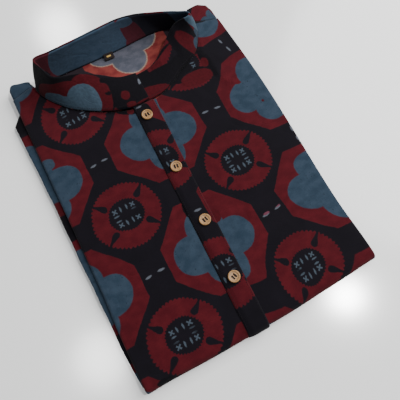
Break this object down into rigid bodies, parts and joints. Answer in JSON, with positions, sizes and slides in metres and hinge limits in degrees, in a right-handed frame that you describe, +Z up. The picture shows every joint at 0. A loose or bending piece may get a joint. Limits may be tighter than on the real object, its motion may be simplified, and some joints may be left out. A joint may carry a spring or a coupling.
{
  "type": "kurta tunic",
  "caption": "Folded cotton kurta tunic with a standing band collar, a button placket and an all-over block-print pattern.",
  "frame": {"origin": "on the surface the folded garment lies on, under the middle of its box", "axes": "+Z up from the surface, +Y from the bottom fold to the neck, +X across the garment to the wearer's left"},
  "size_m": [0.2801, 0.377, 0.0529],
  "materials": {
    "printed_cotton": "matt plain-weave cotton with a block print in near black, madder red and indigo; paler on its wrong side",
    "button_wood": "turned light wood, satin",
    "woven_label": "dark woven tape"
  },
  "bodies": {
    "root": {"front_panel": "printed_cotton", "back_panel": "printed_cotton", "sleeve_right": "printed_cotton", "sleeve_left": "printed_cotton", "collar_band_outer": "printed_cotton", "collar_band_inner": "printed_cotton", "placket_upper": "printed_cotton", "placket_under": "printed_cotton", "folded_layers": "printed_cotton", "button_1": "button_wood", "button_2": "button_wood", "button_3": "button_wood", "button_4": "button_wood", "size_label": "woven_label"}
  },
  "joints": []
}
